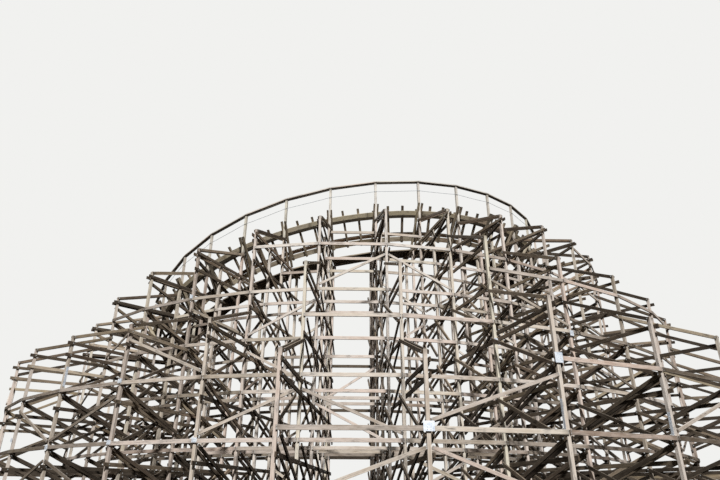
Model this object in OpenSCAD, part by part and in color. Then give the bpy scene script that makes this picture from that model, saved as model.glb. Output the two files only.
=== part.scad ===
// Timber coaster turn: a fan of radial trestle bents that carries a banked wooden track, at 1:2.
// Origin: bottom centre of the whole fan, on the ground. Fourteen bents stand on a circle.
// Each timber is one straight stick. Timbers lie face to face in layers on both sides of the posts.

/* [Plan] */
// Number of bays between neighbouring bents
bays = 13; // [9:1:15]
// Angle between neighbouring bents, in degrees
bay_angle = 10.2; // [9:0.1:11]
// Radius of the outer track leg, which carries the handrail post
leg_c_r = 8440; // [8200:5:8600]
// Distance from the outer track leg in to the second leg
leg_b_in = 720; // [650:10:800]
// Distance from the outer track leg in to the inner leg
leg_a_in = 1340; // [1300:10:1400]
// Distance from the outer track leg out to the middle post row
row_m_out = 1010; // [900:10:1100]
// Distance from the outer track leg out to the first tier of outer posts
tier_1_out = 2080; // [2000:10:2150]
// Distance from the first tier out to the second
tier_2_out = 2000; // [1900:10:2100]
// Distance from the second tier out to the third
tier_3_out = 2210; // [2100:10:2300]

/* [Heights] */
// Underside of the lowest ring ledger row above the ground
first_level = 530; // [450:5:600]
// Height from one ledger row to the next
level_step = 1340; // [1300:5:1360]
// Handrail top at the crest of the turn
crest_h = 11175; // [11000:5:11300]
// Fall of the handrail per bay squared, counted from the crest
crest_fall = 21.5; // [15:0.5:22]
// Place of the crest, counted in bents from the left end
crest_at = 12.4; // [11:0.1:13]

/* [Timbers] */
// Width of a square post
post_w = 74; // [65:1:90]
// Thickness of a ledger plank
ledger_t = 36; // [30:1:42]
// Depth of a ledger plank
ledger_d = 86; // [70:1:100]
// Thickness of a brace
brace_t = 34; // [30:1:40]
// Depth of a brace in the plane of a bent
brace_d = 78; // [65:1:90]
// Depth of a brace on a ring
ring_brace_d = 66; // [55:1:80]
// Gap between butted plank ends
butt_gap = 10; // [5:1:15]
// How far a ledger runs past its last post
ledger_over = 150; // [100:5:200]
// Drop from a ring ledger's underside to the top of the radial ledger of the same row
radial_drop = 350; // [300:5:400]
// Rise of the head struts towards the track, as a share of their run
strut_slope = 0.45; // [0.4:0.01:0.5]

/* [Track] */
// Bank of the track from the horizontal, in degrees
bank = 57; // [50:1:60]
// Distance between the middles of the two rails
gauge = 620; // [560:5:660]
// Distance from the outer track leg in to the track's middle line
track_in = 420; // [400:5:440]
// Height from the track's middle line up to the handrail top
rail_over_track = 1498; // [1480:1:1520]
// Ties and rail pieces in each bay
ties_per_bay = 3; // [2:1:4]
// Width of a tie along the track
tie_w = 70; // [50:1:80]
// Thickness of a tie
tie_t = 70; // [50:1:80]
// Reach of a tie from the middle line to its upper end
tie_up = 680; // [620:5:700]
// Reach of the tie at a bent from the middle line to its upper end
bent_tie_up = 560; // [520:5:565]
// Reach of a tie from the middle line to its lower end
tie_down = 570; // [560:5:640]
// Width of the laminated rail stack
rail_w = 95; // [80:1:110]
// Height of the laminated stack under its top plank
rail_h = 112; // [90:1:130]
// Width of the rail's overhanging top plank
cap_w = 125; // [110:1:140]
// Thickness of the rail's overhanging top plank
cap_t = 38; // [30:1:40]
// Width of the steel running strip
strip_w = 50; // [40:1:60]
// Thickness of the steel running strip
strip_t = 6; // [4:1:8]
// Depth of the outer stringer under the ties
stringer_d = 240; // [200:5:300]
// Thickness of the outer stringer
stringer_t = 50; // [40:1:60]
// Distance from the middle line to the stringer's upper edge
stringer_up = 510; // [500:1:540]
// Depth of each of the paired bank timbers
bank_d = 110; // [90:1:120]
// Thickness of each of the paired bank timbers
bank_t = 45; // [35:1:50]
// Reach of the bank timbers above the middle line
bank_up = 800; // [760:5:840]
// Width of the guard board beside the lower rail
guard_w = 160; // [140:1:165]
// Thickness of the guard board
guard_t = 30; // [20:1:35]

/* [Deck and handrail] */
// Distance from the outer track leg in to the deck's outer edge
deck_in = 750; // [745:5:790]
// Number of deck planks side by side
deck_planks = 4; // [3:1:4]
// Width of a deck plank
deck_w = 165; // [140:1:170]
// Thickness of a deck plank
deck_t = 40; // [30:1:45]
// Height from the deck top up to the track's middle line
deck_under_track = 740; // [720:5:745]
// Width of a handrail post
rail_post_w = 75; // [60:1:80]
// Depth of the handrail plank
handrail_d = 75; // [60:1:90]
// Width of the handrail plank
handrail_w = 95; // [80:1:110]
// Diameter of the mid wire
wire_dia = 12; // [8:1:14]
// Height from the wire up to the handrail top
wire_drop = 400; // [350:5:450]

/* [Footings] */
// Width of a concrete footing
footing_w = 260; // [220:5:280]
// Height of a concrete footing
footing_h = 150; // [100:5:180]

/* [Hidden] */

// One row per bent, from the left end: heads of tier 2 and tier 3; 0 where there is no post
TIER_2 = 0;
TIER_3 = 1;
heads = [
    [4700, 0],
    [4690, 0],
    [4680, 0],
    [4680, 0],
    [4690, 0],
    [4640, 0],
    [5930, 3300],
    [5930, 3300],
    [6830, 4530],
    [6620, 4380],
    [6560, 4350],
    [6400, 4300],
    [6300, 4280],
    [6280, 4250]
];

// Long diagonals on the rings: row of posts counted from the inside, first bent, first ledger row,
// way to the right (1 up, -1 down), and bays
ROW = 0;
FIRST = 1;
FROM = 2;
WAY = 3;
LENGTH = 4;
diagonals = [
    [2, 0, 0, 1, 4],
    [2, 3, 3, -1, 3],
    [2, 4, 2, 1, 2],
    [2, 5, 1, 1, 4],
    [2, 7, 5, -1, 4],
    [2, 9, 1, 1, 4],
    [4, 0, 1, 1, 3],
    [4, 4, 4, -1, 3],
    [4, 5, 3, 1, 2],
    [4, 7, 5, -1, 4],
    [4, 7, 0, 1, 2],
    [4, 10, 4, -1, 3],
    [5, 0, 3, -1, 1],
    [5, 2, 2, -1, 2],
    [5, 2, 0, 1, 2],
    [5, 4, 3, -1, 1],
    [5, 5, 1, 1, 1],
    [5, 6, 2, -1, 2],
    [5, 8, 4, -1, 4],
    [5, 10, 0, 1, 3],
    [6, 6, 0, 1, 2],
    [6, 7, 1, -1, 1],
    [6, 9, 1, 1, 1],
    [6, 10, 2, -1, 2],
    [6, 12, 0, 1, 1]
];
// Number of ledger rows
levels = 7;
// Clearance where one timber bears on another
seat = 0.3;
wood = "tan";
grey_wood = "burlywood";

leg_a_r = leg_c_r - leg_a_in;
leg_b_r = leg_c_r - leg_b_in;
row_m_r = leg_c_r + row_m_out;
tier_1_r = leg_c_r + tier_1_out;
tier_2_r = tier_1_r + tier_2_out;
tier_3_r = tier_2_r + tier_3_out;
track_r = leg_c_r - track_in;
deck_out_r = leg_c_r - deck_in;
bents = bays + 1;
half_bay = bay_angle / 2;
half_post = post_w / 2;

function bent_angle(b) = (b - bays / 2) * bay_angle;
function level(n) = first_level + n * level_step;
// Handrail top at any place along the turn, counted in bents
function rail_z(b) = crest_h - crest_fall * pow(b - crest_at, 2);
function track_z(b) = rail_z(b) - rail_over_track;
function deck_z(b) = track_z(b) - deck_under_track;
function head(b, tier) = heads[min(b, len(heads) - 1)][tier];
function radial_z(n) = level(n) - radial_drop;

// Slope of the path at a radius, in degrees, from the fall per bay there
function path_slope(b, r) = atan2(-2 * crest_fall * (b - crest_at), r * bay_angle * PI / 180);

// Fall or rise of a straight piece over one bay
function rise(b, r) = (rail_z(b + 1) - rail_z(b)) / (2 * r * sin(half_bay));
// Lowest underside, over a stretch beside bent b, of straight planks that meet there
function plank_under(b, radii, width, thick, from, to) = min([
    for (r = radii, y = [from, to], side = [-1, 1])
        let (place = y + side * width / 2 * sin(half_bay),
             bay = place < 0 ? max(b - 1, 0) : min(b, bays - 1),
             fall = rise(bay, r))
            place * fall - thick * norm([1, fall])
]);
function deck_under(b, from, to) =
    deck_z(b) + plank_under(b, [deck_in_r, deck_out_r], deck_w, deck_t, from, to) - seat;
// Legs under the deck end at its planks, and the outer track leg ends between the bank timbers
function leg_top(b) = deck_under(b, -half_post, half_post) - 2 * seat;
// Height from the outer leg's head up to the handrail top
outer_leg_drop = 1450;
function outer_leg_top(b) = rail_z(b) - outer_leg_drop;
// Paired caps carry the deck planks at each bent and run on to the head of tier 1
function cap_top(b, side) = deck_under(b, side * half_post, side * (half_post + ledger_t));
function cap_peak(b) = max(cap_top(b, -1), cap_top(b, 1));
function cap_foot(b) = min(cap_top(b, -1), cap_top(b, 1)) - ledger_d;
// Height from the caps up to the head of tier 1
head_over_cap = 140;
function tier_1_top(b) = cap_peak(b) + head_over_cap;

// The posts of one bent from the inside out: radius, top
function rows(b) = concat(
    [[leg_a_r, leg_top(b)], [leg_b_r, leg_top(b)], [leg_c_r, outer_leg_top(b)],
     [row_m_r, cap_foot(b) + ledger_d], [tier_1_r, tier_1_top(b)], [tier_2_r, head(b, TIER_2)]],
    head(b, TIER_3) > 0 ? [[tier_3_r, head(b, TIER_3)]] : []
);
LEG_A = 0;
LEG_C = 2;
ROW_M = 3;
ROW_1 = 4;

// The fan's box, so that its bottom centre is the origin
last_angle = bays / 2 * bay_angle;
near_angle = (bents % 2 == 0) ? half_bay : 0;
half_foot = footing_w / 2;
y_front = -(tier_3_r + ledger_over) * cos(near_angle) - (half_post + ledger_t) * sin(near_angle);
y_back = -(leg_a_r - half_foot) * cos(last_angle) + half_foot * sin(last_angle);
x_right = (tier_3_r + half_foot) * sin(last_angle) + half_foot * cos(last_angle);
x_left = -(tier_2_r + half_foot) * sin(last_angle) - half_foot * cos(last_angle);
centre_shift = [-(x_left + x_right) / 2, -(y_front + y_back) / 2, 0];

// Local frames: x runs out along the radius, y along the turn to the right, z up
module at_angle(angle) translate(centre_shift) rotate([0, 0, angle - 90]) children();
module at_bent(b) at_angle(bent_angle(b)) children();
module at_bay(b) at_angle(bent_angle(b + 0.5)) children();

// Ranges from a start and a length, or about a middle
function span(start, length) = [start, start + length];
function around(middle, width) = [middle - width / 2, middle + width / 2];

module block(x, y, z) {
    translate([x[0], y[0], z[0]]) cube([x[1] - x[0], y[1] - y[0], z[1] - z[0]]);
}

// A plank in the plane of a bent, from p to q, given as radius and height
module bent_brace(p, q, depth, y) {
    run = norm(q - p);
    pitch = atan2(q[1] - p[1], q[0] - p[0]);
    translate([p[0], y[0], p[1]]) rotate([0, -pitch, 0]) translate([0, 0, -depth / 2])
        cube([run, y[1] - y[0], depth]);
}

// A plank in the plane of a ring, from p to q, given as place along the turn and height
module ring_brace(p, q, depth, x) {
    run = norm(q - p);
    pitch = atan2(q[1] - p[1], q[0] - p[0]);
    translate([x[0], p[0], p[1]]) rotate([pitch, 0, 0]) translate([0, 0, -depth / 2])
        cube([x[1] - x[0], run, depth]);
}

module footings() color("gray")
    for (b = [0:bents - 1], row = rows(b)) at_bent(b)
        translate([row[0] - half_foot, -half_foot, 0]) cube([footing_w, footing_w, footing_h]);

module bent_posts(b) color(wood) at_bent(b)
    for (row = rows(b))
        block(around(row[0], post_w), around(0, post_w), [footing_h, row[1]]);

// Face layers of a bent, counted along the turn from its middle
ledger_face = [half_post, half_post + ledger_t];
left_face = [-half_post - brace_t, -half_post];
right_face = span(half_post + ledger_t + seat, brace_t);
left_outer_face = span(-half_post - 2 * brace_t - seat, brace_t);

// Clear height kept between planks that pass in one layer
plank_room = 20;
// Struts meet a post this far below its head, and the ledger of that head lies further down
strut_drop = 50;
head_ledger_drop = 170;

function stops(b, n) = [
    for (i = [0:len(rows(b)) - 1])
        if (radial_z(n) < cap_foot(b) - plank_room && rows(b)[i][1] > radial_z(n) + (i > ROW_1 ? head_ledger_drop + ledger_d + plank_room : 0))
            rows(b)[i][0]
];
// True where the ledger of the next tier's head takes the place of a row's end
function meets_head(b, n, i) =
    i + 1 < len(rows(b)) && i >= ROW_1
    && abs(rows(b)[i + 1][1] - head_ledger_drop - radial_z(n)) < ledger_d + plank_room;

// Ledgers lie on one face of the posts, between butts on every second post
module bent_ledgers(b)
    for (n = [1:levels - 1]) {
        reach = stops(b, n);
        last = len(reach) - 1;
        if (last > 0) for (i = [0:2:last - 1]) {
            j = min(i + 2, last);
            start = reach[i] + (i == 0 ? -ledger_over : butt_gap / 2);
            finish = reach[j] + (j == last && !meets_head(b, n, last) ? ledger_over : -butt_gap / 2);
            block([start, finish], ledger_face, [radial_z(n) - ledger_d, radial_z(n)]);
        }
    }

// The ledger of a tier's head runs in to the next tier
module head_ledgers(b)
    for (i = [ROW_1 + 1:len(rows(b)) - 1])
        block([rows(b)[i - 1][0] + butt_gap / 2, rows(b)[i][0] + ledger_over], ledger_face,
              span(rows(b)[i][1] - head_ledger_drop - ledger_d, ledger_d));

module deck_caps() color(wood)
    for (b = [0:bents - 1], side = [-1, 1]) at_bent(b)
        block([leg_a_r - ledger_over, tier_1_r + ledger_over],
              around(side * (half_post + ledger_t / 2), ledger_t), [cap_top(b, side) - ledger_d, cap_top(b, side)]);

// A plank over two posts, from one post's middle line to the other's, on any of the bent's faces
function on_line(p, q, r) = [r, p[1] + (q[1] - p[1]) * (r - p[0]) / (q[0] - p[0])];
module post_to_post(p, q, face)
    bent_brace(on_line(p, q, p[0] - half_post), on_line(p, q, q[0] + half_post - butt_gap), brace_d, face);

// Heights above a ledger row where a strut passes clear of the ring ledgers and of the next row
strut_low = 215;
strut_high = 820;
function strut_seat(z) = let (n = floor((z - first_level) / level_step), up = z - level(n))
    up > (strut_low + strut_high + level_step) / 2 ? level(n + 1) + strut_low
                                                   : level(n) + min(max(up, strut_low), strut_high);

// Struts rise from each head to the next post towards the track, in pairs
module head_struts(b)
    for (i = [ROW_1:len(rows(b)) - 1]) {
        outer = rows(b)[i];
        inner = rows(b)[i == ROW_1 ? LEG_C : i - 1];
        top = i == ROW_1 ? outer_leg_top(b) - strut_drop - plank_room
                         : min(strut_seat(outer[1] + strut_slope * (outer[0] - inner[0])),
                               cap_foot(b) - top_raker_drop - brace_d - 2 * plank_room);
        for (face = [left_face, ledger_face])
            post_to_post([inner[0], top], [outer[0], outer[1] - strut_drop], face);
    }

// Rakers lean out from one leg to the next: inner row, outer row, room left under the outer head
INNER = 0;
OUTER = 1;
ROOM = 2;
raker_panels = [
    [LEG_A, LEG_C, 0],
    [LEG_C, ROW_1, 450],
    [ROW_1, ROW_1 + 1, 1000],
    [ROW_1 + 1, ROW_1 + 2, 1000]
];
// A raker starts this far above its lower ledger row and ends this far below the upper one
brace_seat = 450;
brace_head = 60;
function has_ledger(b, n, r) = let (reach = stops(b, n)) len(reach) > 1 && max(reach) >= r;
module bent_rakers(b)
    for (panel = raker_panels, n = [0:levels - 2]) if (panel[OUTER] < len(rows(b))) {
        inner = rows(b)[panel[INNER]];
        outer = rows(b)[panel[OUTER]];
        if (level(n + 1) + panel[ROOM] < outer[1] && level(n + 1) + plank_room < cap_foot(b))
            for (face = has_ledger(b, n + 1, outer[0]) ? [left_face, right_face] : [left_face])
                post_to_post([inner[0], level(n) + brace_seat], [outer[0], level(n + 1) - brace_head], face);
    }

// The top raker under the caps is doubled on one face
top_raker_drop = 80;
top_raker_fall = 690;
function top_raker_foot(b) = strut_seat(cap_foot(b) - top_raker_drop - top_raker_fall);
module top_rakers(b)
    for (face = [left_face, left_outer_face])
        post_to_post([leg_c_r, top_raker_foot(b)], [tier_1_r, cap_foot(b) - top_raker_drop], face);

// Cross braces fall outwards over the rakers, from post to post: how far above a ledger row the
// inner end is, and how far below it the outer end is
cross_high = 960;
cross_low = 60;
cross_panels = [[LEG_A, LEG_C], [LEG_C, ROW_M], [ROW_M, ROW_1], [ROW_1, ROW_1 + 1], [ROW_1 + 1, ROW_1 + 2]];
function cross_room(b, outer) = outer > ROW_1 ? rows(b)[outer][1] : top_raker_foot(b);
module cross_braces(b)
    for (panel = cross_panels, n = [0:levels - 2]) if (panel[OUTER] < len(rows(b)))
        if (level(n) + cross_high + brace_d < cross_room(b, panel[OUTER]))
            post_to_post([rows(b)[panel[INNER]][0], level(n) + cross_high],
                         [rows(b)[panel[OUTER]][0], level(n) - cross_low], left_outer_face);

module bent_bracing(b) color(grey_wood) at_bent(b) {
    bent_ledgers(b);
    head_ledgers(b);
    head_struts(b);
    bent_rakers(b);
    top_rakers(b);
    cross_braces(b);
}

// Ring planks touch the corners of the posts at both ends of a bay
function ring_x(r) = (r + half_post) * cos(half_bay) + half_post * sin(half_bay);
function ring_y(r) = (r + half_post) * sin(half_bay);
function row_top(b, i) = rows(b)[i][1];
function bay_top(b, i) = min(row_top(b, i), row_top(b + 1, i));
function in_row(b, i) = len(rows(b)) > i && len(rows(b + 1)) > i;

// Height kept free under the lower of two heads, and more of it in the middle row
ring_room = [ledger_d, ledger_d, 200, 740, 400, 400, 400];
// Ledger rows that the inner legs and the middle posts go without
bare_rows = [[4, 5, 6], [], [], [3], [], [], []];
function row_clear(b, i, n) =
    len(search(n, bare_rows[i])) == 0 && level(n) + ring_room[i] < bay_top(b, i)
    && (i > LEG_C || bay_clears_caps(b, level(n), level(n) + ledger_d));
function clears_caps(b, low, high) = high + plank_room < cap_foot(b) || low > cap_peak(b) + ledger_d;
function bay_clears_caps(b, low, high) = clears_caps(b, low, high) && clears_caps(b + 1, low, high);
module ring_ledgers(i) color(wood)
    for (b = [0:bays - 1]) if (in_row(b, i)) at_bay(b)
        for (n = [0:levels - 1]) if (row_clear(b, i, n)) {
            r = rows(b)[i][0];
            reach = ring_y(r) - butt_gap / 2;
            block(span(ring_x(r), ledger_t), [-reach, reach], span(level(n), ledger_d));
        }

// A diagonal's middle line starts this far above a ring ledger and ends this far under the next
ring_brace_seat = 90;
ring_brace_head = 260;
module ring_braces(i) color(grey_wood)
    for (run = diagonals) if (run[ROW] == i) for (step = [0:run[LENGTH] - 1]) {
        b = run[FIRST] + step;
        n = run[FROM] + (run[WAY] > 0 ? step : -1 - step);
        if (b < bays && in_row(b, i) && level(n + 1) < bay_top(b, i)
            && (i >= ROW_1 || bay_clears_caps(b, level(n), level(n + 1)))) at_bay(b) {
            r = rows(b)[i][0];
            reach = ring_y(r) - half_post;
            low = level(n) + ledger_d + ring_brace_seat;
            high = level(n + 1) - ring_brace_head;
            ring_brace([-reach, run[WAY] > 0 ? low : high], [reach, run[WAY] > 0 ? high : low],
                       ring_brace_d, span(ring_x(r), brace_t));
        }
    }

// Frame of the path at a place along the turn, counted in bents, at a radius and below the
// handrail top: x runs out and up along the tilt, y along the path, z square to both
module at_path(b, r, drop, tilt) at_angle(bent_angle(b))
    translate([r, 0, rail_z(b) - drop]) rotate([path_slope(b, r), 0, 0]) rotate([0, -tilt, 0]) children();
module at_track(b) at_path(b, track_r, rail_over_track, bank) children();

track_step = 1 / ties_per_bay;
track_pieces = bays * ties_per_bay;
// Half length of a track piece whose inner edge lies at a radius
function piece_half(r, b) = r * tan(bay_angle * track_step / 2) / cos(path_slope(b, r)) - butt_gap / 2;

// Track pieces are centred on the bents and between them, so that each lies flat on its own tie
module track_piece(x, z) {
    inner = track_r + x[0] * cos(bank) - max(z[1], 0) * sin(bank);
    for (i = [0:track_pieces]) {
        b = i * track_step;
        at_track(b) block(x, [-piece_half(inner, b), piece_half(inner, b)], z);
    }
}

rail_places = [-gauge / 2, gauge / 2];
stringer_z = [-tie_t - stringer_t, -tie_t];

// The tie at a bent ends just inside the handrail post
module ties() color("peru")
    for (i = [0:track_pieces]) at_track(i * track_step)
        block([-tie_down, i % ties_per_bay == 0 ? bent_tie_up : tie_up], around(0, tie_w), [-tie_t, 0]);

module stringer() color("peru")
    track_piece([stringer_up - stringer_d, stringer_up], stringer_z);

module rail_stacks() color("sienna")
    for (x = rail_places) track_piece(around(x, rail_w), [0, rail_h]);

module rail_top_planks() color("sienna")
    for (x = rail_places) track_piece(around(x, cap_w), span(rail_h, cap_t));

module running_strips() color("silver")
    for (x = rail_places) track_piece(around(x, strip_w), span(rail_h + cap_t, strip_t));

guard_start = -gauge / 2 - cap_w / 2 - butt_gap;
module guard_boards() color("peru") track_piece(span(guard_start - guard_w, guard_w), [0, guard_t]);

// Paired timbers at each bent carry the stringer's underside
function bank_clear(b) = abs(tan(path_slope(b, track_r))) * (half_post + bank_t) * cos(bank) + seat;
function bank_under(b) = stringer_z[0] - bank_clear(b) - bank_d;
// Their lower ends stand on the caps
function bank_foot(b, side) = (cap_top(b, side) + seat - track_z(b) - bank_under(b) * cos(bank)) / sin(bank);
module bank_timbers() color(wood)
    for (b = [0:bents - 1], side = [-1, 1])
        at_bent(b) translate([track_r, 0, track_z(b)]) rotate([0, -bank, 0])
            block([bank_foot(b, side), bank_up], around(side * (half_post + bank_t / 2), bank_t),
                  span(bank_under(b), bank_d));

// A straight piece from bent to bent at a radius and below the handrail top
module at_span(b, r, drop) {
    slope = atan2(rail_z(b + 1) - rail_z(b), 2 * r * sin(half_bay));
    at_bay(b) translate([r * cos(half_bay), 0, (rail_z(b) + rail_z(b + 1)) / 2 - drop])
        rotate([slope, 0, 0]) children();
}
function span_half(b, r, width) =
    (r - width / 2) * sin(half_bay) / cos(atan2(rail_z(b + 1) - rail_z(b), 2 * r * sin(half_bay))) - butt_gap;

deck_drop = rail_over_track + deck_under_track;
deck_in_r = deck_out_r - deck_planks * (deck_w + butt_gap);
// Each plank settles until it bears on a cap at one of its ends
function plank_gap(b, r, side) =
    deck_z(b) - cap_top(b, side)
    + plank_under(b, [r], deck_w, deck_t, side * half_post, side * (half_post + ledger_t));
function deck_settle(b, r) = min(plank_gap(b, r, 1), plank_gap(b + 1, r, -1)) - seat;
module deck() color("peru")
    for (i = [0:deck_planks - 1], b = [0:bays - 1]) {
        r = deck_out_r - (i + 0.5) * (deck_w + butt_gap);
        at_span(b, r, deck_drop + deck_settle(b, r)) block(around(0, deck_w), around(0, 2 * span_half(b, r, deck_w)), [-deck_t, 0]);
    }

function rail_post_top(b) =
    rail_z(b) + plank_under(b, [leg_c_r], handrail_w, handrail_d, -half_post, half_post) - seat;
module handrail_posts() color("white") for (b = [0:bents - 1]) at_bent(b)
    block(around(leg_c_r, rail_post_w), around(0, post_w), [outer_leg_top(b), rail_post_top(b)]);

module handrail() color("white") for (b = [0:bays - 1]) at_span(b, leg_c_r, 0)
    block(around(0, handrail_w), around(0, 2 * span_half(b, leg_c_r, handrail_w)), [-handrail_d, 0]);

module rail_wire() color("silver") for (b = [0:bays - 1]) at_span(b, leg_c_r, wire_drop)
    translate([(rail_post_w + wire_dia) / 2 + post_w * tan(half_bay) / 2, -span_half(b, leg_c_r, 0), 0])
        rotate([-90, 0, 0]) cylinder(d = wire_dia, h = 2 * span_half(b, leg_c_r, 0), $fn = 24);

footings();
bent_posts(0);  // bent_01_posts
bent_posts(1);  // bent_02_posts
bent_posts(2);  // bent_03_posts
bent_posts(3);  // bent_04_posts
bent_posts(4);  // bent_05_posts
bent_posts(5);  // bent_06_posts
bent_posts(6);  // bent_07_posts
bent_posts(7);  // bent_08_posts
bent_posts(8);  // bent_09_posts
bent_posts(9);  // bent_10_posts
bent_posts(10);  // bent_11_posts
bent_posts(11);  // bent_12_posts
bent_posts(12);  // bent_13_posts
bent_posts(13);  // bent_14_posts
bent_bracing(0);  // bent_01_bracing
bent_bracing(1);  // bent_02_bracing
bent_bracing(2);  // bent_03_bracing
bent_bracing(3);  // bent_04_bracing
bent_bracing(4);  // bent_05_bracing
bent_bracing(5);  // bent_06_bracing
bent_bracing(6);  // bent_07_bracing
bent_bracing(7);  // bent_08_bracing
bent_bracing(8);  // bent_09_bracing
bent_bracing(9);  // bent_10_bracing
bent_bracing(10);  // bent_11_bracing
bent_bracing(11);  // bent_12_bracing
bent_bracing(12);  // bent_13_bracing
bent_bracing(13);  // bent_14_bracing
ring_ledgers(0);  // ring_ledgers_inner
ring_ledgers(2);  // ring_ledgers_track
ring_ledgers(3);  // ring_ledgers_middle
ring_ledgers(4);  // ring_ledgers_tier_1
ring_ledgers(5);  // ring_ledgers_tier_2
ring_ledgers(6);  // ring_ledgers_tier_3
ring_braces(2);  // ring_braces_track
ring_braces(4);  // ring_braces_tier_1
ring_braces(5);  // ring_braces_tier_2
ring_braces(6);  // ring_braces_tier_3
deck_caps();
bank_timbers();
stringer();
ties();
rail_stacks();
rail_top_planks();
running_strips();
guard_boards();
deck();
handrail_posts();
handrail();
rail_wire();
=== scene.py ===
import math
from functools import partial

import bpy
import numpy as np
from mathutils import Matrix, Vector


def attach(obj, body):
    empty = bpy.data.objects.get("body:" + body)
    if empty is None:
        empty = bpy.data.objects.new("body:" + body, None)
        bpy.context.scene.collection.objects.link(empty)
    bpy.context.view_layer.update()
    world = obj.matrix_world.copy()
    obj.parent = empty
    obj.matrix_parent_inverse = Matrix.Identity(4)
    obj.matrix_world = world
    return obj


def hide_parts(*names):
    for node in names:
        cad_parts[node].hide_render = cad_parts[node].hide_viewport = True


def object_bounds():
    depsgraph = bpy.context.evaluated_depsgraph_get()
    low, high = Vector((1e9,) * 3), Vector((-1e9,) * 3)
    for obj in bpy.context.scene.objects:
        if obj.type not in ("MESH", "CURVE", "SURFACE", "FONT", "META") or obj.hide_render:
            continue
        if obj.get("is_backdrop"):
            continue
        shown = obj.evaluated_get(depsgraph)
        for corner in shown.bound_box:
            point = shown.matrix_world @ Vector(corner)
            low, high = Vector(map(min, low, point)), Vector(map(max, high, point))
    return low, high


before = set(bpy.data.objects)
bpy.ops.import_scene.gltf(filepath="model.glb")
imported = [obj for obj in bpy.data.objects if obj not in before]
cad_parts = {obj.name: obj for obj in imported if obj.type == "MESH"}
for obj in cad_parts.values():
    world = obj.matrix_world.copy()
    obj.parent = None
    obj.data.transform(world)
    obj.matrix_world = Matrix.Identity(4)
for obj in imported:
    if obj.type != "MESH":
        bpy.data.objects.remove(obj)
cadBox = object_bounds()
rootBody = "root"
chance = np.random.default_rng(41)  # one seeded source for every small irregularity

# the turn, as the frame gives it
turn = {
    "centre": np.array([-1.0118, 8.7551, 0.0]),  # middle of the curve, on the ground
    "bents": range(1, 15),
    "middleBent": 7.5,  # the middle line lies between bents 7 and 8
    "bayAngle": math.radians(10.2),
    "middlePost": 3,  # place of the middle row among a bent's posts, counted outward from 0
}


def aroundTurn(point):  # angle of a point round the turn, from the middle line, to the right
    return math.atan2(point[0] - turn["centre"][0], turn["centre"][1] - point[1])


def fromCentre(stick):  # distance of a stick from the middle of the curve
    return np.linalg.norm((stick.middle - turn["centre"])[:2])


def bentAngle(number):
    return (number - turn["middleBent"]) * turn["bayAngle"]


def bentOf(point):  # number of the nearest bent
    return round(aroundTurn(point) / turn["bayAngle"] + turn["middleBent"])


def outwardAt(angle):
    return np.array([math.sin(angle), -math.cos(angle), 0.0])


def unit(vector):
    return np.array(vector) / np.linalg.norm(vector)


def linear(hexColour):  # sRGB hex to the linear values that the shader takes
    parts = [int(hexColour[i:i + 2], 16) / 255 for i in (1, 3, 5)]
    return tuple(c / 12.92 if c < 0.04045 else ((c + 0.055) / 1.055) ** 2.4 for c in parts) + (1,)


# an input is a number, a hex colour, a socket, or a node, which is linked by its first output in use
def feed(tree, node, inputs):
    for key, value in inputs.items() if isinstance(inputs, dict) else enumerate(inputs):
        if isinstance(value, str):
            value = linear(value)
        if isinstance(value, bpy.types.Node):
            value = next(output for output in value.outputs if output.enabled)
        if isinstance(value, bpy.types.NodeSocket):
            tree.links.new(value, node.inputs[key])
        else:
            node.inputs[key].default_value = value


def addNode(tree, kind, inputs, stops=(), **settings):  # stops are the (place, hex) pairs of a colour ramp
    node = tree.nodes.new("ShaderNode" + kind)
    for key, value in settings.items():
        setattr(node, key, value)
    feed(tree, node, inputs)
    if stops:
        marks = node.color_ramp.elements
        while len(marks) < len(stops):
            marks.new(0.5)
        for mark, (place, colour) in zip(marks, stops):
            mark.position, mark.color = place, linear(colour)
    return node


def newMaterial(name):
    material = bpy.data.materials.new(name)
    material.use_nodes = True
    return material, material.node_tree, material.node_tree.nodes["Principled BSDF"]


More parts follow.
